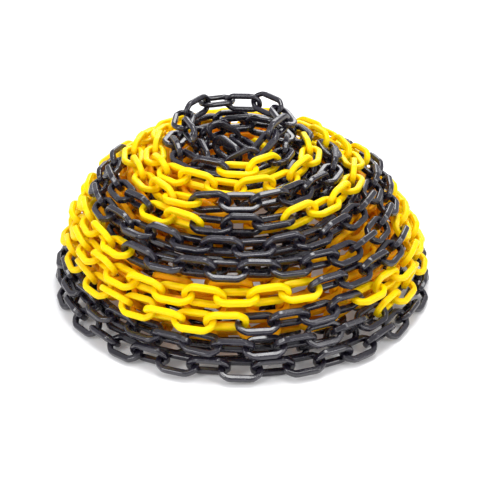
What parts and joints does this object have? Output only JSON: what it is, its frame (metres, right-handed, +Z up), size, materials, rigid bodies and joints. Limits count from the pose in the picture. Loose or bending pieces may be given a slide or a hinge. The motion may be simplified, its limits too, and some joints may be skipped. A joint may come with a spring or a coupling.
{
  "type": "plastic barrier chain",
  "caption": "Black and yellow plastic barrier chain wound turn upon turn into a domed heap, with loose links at both free ends.",
  "frame": {"origin": "middle of the heap's box on the floor", "axes": "+Z up, -Y towards the front, +X to the right seen from the front"},
  "size_m": [0.3836, 0.4276, 0.1781],
  "materials": {
    "black_plastic": "semi-gloss moulded polyethylene",
    "yellow_plastic": "semi-gloss moulded polyethylene"
  },
  "bodies": {
    "heap": {"black_run_01": "black_plastic", "black_run_02": "black_plastic", "black_run_03": "black_plastic", "black_run_04": "black_plastic", "black_run_05": "black_plastic", "black_run_06": "black_plastic", "black_run_07": "black_plastic", "yellow_run_08": "yellow_plastic", "yellow_run_09": "yellow_plastic", "yellow_run_10": "yellow_plastic", "yellow_run_11": "yellow_plastic", "black_run_12": "black_plastic", "yellow_run_13": "yellow_plastic", "yellow_run_14": "yellow_plastic", "yellow_run_15": "yellow_plastic", "yellow_run_16": "yellow_plastic", "black_run_17": "black_plastic", "yellow_run_18": "yellow_plastic", "yellow_run_19": "yellow_plastic", "yellow_run_20": "yellow_plastic", "black_run_21": "black_plastic", "black_run_22": "black_plastic", "yellow_run_23": "yellow_plastic", "black_run_24": "black_plastic", "black_run_25": "black_plastic", "yellow_run_26": "yellow_plastic", "yellow_run_27": "yellow_plastic", "black_run_28": "black_plastic", "yellow_run_29": "yellow_plastic", "black_run_30": "black_plastic", "yellow_run_31": "yellow_plastic", "yellow_run_32": "yellow_plastic", "yellow_run_33": "yellow_plastic", "black_run_34": "black_plastic", "yellow_run_35": "yellow_plastic", "yellow_run_36": "yellow_plastic", "black_run_37": "black_plastic", "yellow_run_38": "yellow_plastic", "black_run_39": "black_plastic", "black_run_40": "black_plastic"},
    "tail_1": {"tail_link_1": "black_plastic"},
    "tail_2": {"tail_link_2": "black_plastic"},
    "tail_3": {"tail_link_3": "black_plastic"},
    "tail_4": {"tail_link_4": "black_plastic"},
    "tail_5": {"tail_link_5": "black_plastic"},
    "tail_6": {"tail_link_6": "black_plastic"},
    "tail_7": {"tail_link_7": "black_plastic"},
    "tail_8": {"tail_link_8": "black_plastic"},
    "head_1": {"head_link_1": "black_plastic"},
    "head_2": {"head_link_2": "black_plastic"},
    "head_3": {"head_link_3": "black_plastic"},
    "head_4": {"head_link_4": "black_plastic"},
    "head_5": {"head_link_5": "black_plastic"}
  },
  "joints": [
    {"name": "tail_hinge_1", "type": "hinge", "parent": "heap", "child": "tail_1", "pos_m": [-0.0073, 0.19962, 0.01034], "axis": [-0.0355, -0.1226, 0.9918], "range_deg": [0, 36]},
    {"name": "tail_hinge_2", "type": "hinge", "parent": "tail_1", "child": "tail_2", "pos_m": [0.01976, 0.20121, 0.01045], "axis": [-0.0943, -0.9954, 0.0142], "range_deg": [0, 18]},
    {"name": "tail_hinge_3", "type": "hinge", "parent": "tail_2", "child": "tail_3", "pos_m": [0.04664, 0.19851, 0.00931], "axis": [-0.0123, -0.0144, -0.9998], "range_deg": [-3, 6]},
    {"name": "tail_hinge_4", "type": "hinge", "parent": "tail_3", "child": "tail_4", "pos_m": [0.07327, 0.19325, 0.00905], "axis": [-0.3894, -0.921, 0.0144], "range_deg": [0, 36]},
    {"name": "tail_hinge_5", "type": "hinge", "parent": "tail_4", "child": "tail_5", "pos_m": [0.09838, 0.18314, 0.00928], "axis": [-0.0142, -0.0081, -0.9999], "range_deg": [-7, 10]},
    {"name": "tail_hinge_6", "type": "hinge", "parent": "tail_5", "child": "tail_6", "pos_m": [0.12244, 0.17056, 0.00904], "axis": [-0.6454, -0.7638, 0.0097], "range_deg": [0, 36]},
    {"name": "tail_hinge_7", "type": "hinge", "parent": "tail_6", "child": "tail_7", "pos_m": [0.14408, 0.15416, 0.00907], "axis": [-0.0052, -0.0009, -1], "range_deg": [-14, 16]},
    {"name": "tail_hinge_8", "type": "hinge", "parent": "tail_7", "child": "tail_8", "pos_m": [0.16357, 0.13534, 0.00903], "axis": [-0.768, -0.6404, -0.0014], "range_deg": [-3, 36]},
    {"name": "head_hinge_1", "type": "hinge", "parent": "heap", "child": "head_1", "pos_m": [0.01488, 0.02613, 0.1673], "axis": [0.1386, 0.2995, -0.944], "range_deg": [-5, 4]},
    {"name": "head_hinge_2", "type": "hinge", "parent": "head_1", "child": "head_2", "pos_m": [-0.01142, 0.03743, 0.16468], "axis": [-0.4311, 0.9008, 0.0526], "range_deg": [-2, 2]},
    {"name": "head_hinge_3", "type": "hinge", "parent": "head_2", "child": "head_3", "pos_m": [-0.03539, 0.02532, 0.16661], "axis": [0.0452, 0.0731, -0.9963], "range_deg": [-18, 4]},
    {"name": "head_hinge_4", "type": "hinge", "parent": "head_3", "child": "head_4", "pos_m": [-0.05497, 0.00515, 0.16351], "axis": [-0.9984, 0.0567, -0.006], "range_deg": [-4, 36]},
    {"name": "head_hinge_5", "type": "hinge", "parent": "head_4", "child": "head_5", "pos_m": [-0.05651, -0.02155, 0.16049], "axis": [-0.0094, 0.024, -0.9997], "range_deg": [-18, 14]}
  ]
}
